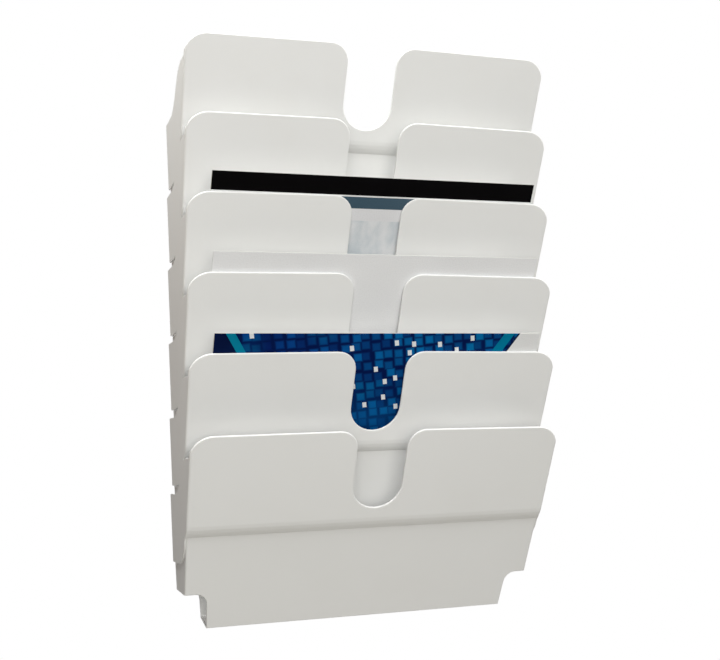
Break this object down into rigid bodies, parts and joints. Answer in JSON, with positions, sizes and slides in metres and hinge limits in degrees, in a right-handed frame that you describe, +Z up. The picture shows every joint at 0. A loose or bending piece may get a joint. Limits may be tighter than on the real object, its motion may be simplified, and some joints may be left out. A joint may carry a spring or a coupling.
{
  "type": "wall literature display",
  "caption": "White plastic wall literature display: nested leaning pockets with thumb notches and rolled bellies, some holding upright printed sheets that lift out",
  "frame": {"origin": "on the wall side of the top pocket's rear plate, midway between its two keyhole slots", "axes": "+X right as seen from the front, +Y into the wall, +Z up"},
  "size_m": [0.3362, 0.1211, 0.511],
  "materials": {
    "white_plastic": "satin moulded",
    "print_black": "printed",
    "print_plain": "printed",
    "print_blue": "printed"
  },
  "bodies": {
    "root": {"pocket_1": "white_plastic", "pocket_2": "white_plastic", "pocket_3": "white_plastic", "pocket_4": "white_plastic", "pocket_5": "white_plastic", "pocket_6": "white_plastic"},
    "sheet_in_3": {"sheet_black_band": "print_black"},
    "sheet_in_4": {"sheet_plain": "print_plain"},
    "sheet_in_5": {"sheet_blue_weave": "print_blue"}
  },
  "joints": [
    {"name": "lift_black_band", "type": "slide", "parent": "root", "child": "sheet_in_3", "axis": [0, -0.5027, 0.8645], "range_m": [0, 0.21]},
    {"name": "lift_plain", "type": "slide", "parent": "root", "child": "sheet_in_4", "axis": [0, -0.5005, 0.8657], "range_m": [0, 0.21]},
    {"name": "lift_blue_weave", "type": "slide", "parent": "root", "child": "sheet_in_5", "axis": [0, -0.5027, 0.8645], "range_m": [0, 0.21]}
  ]
}
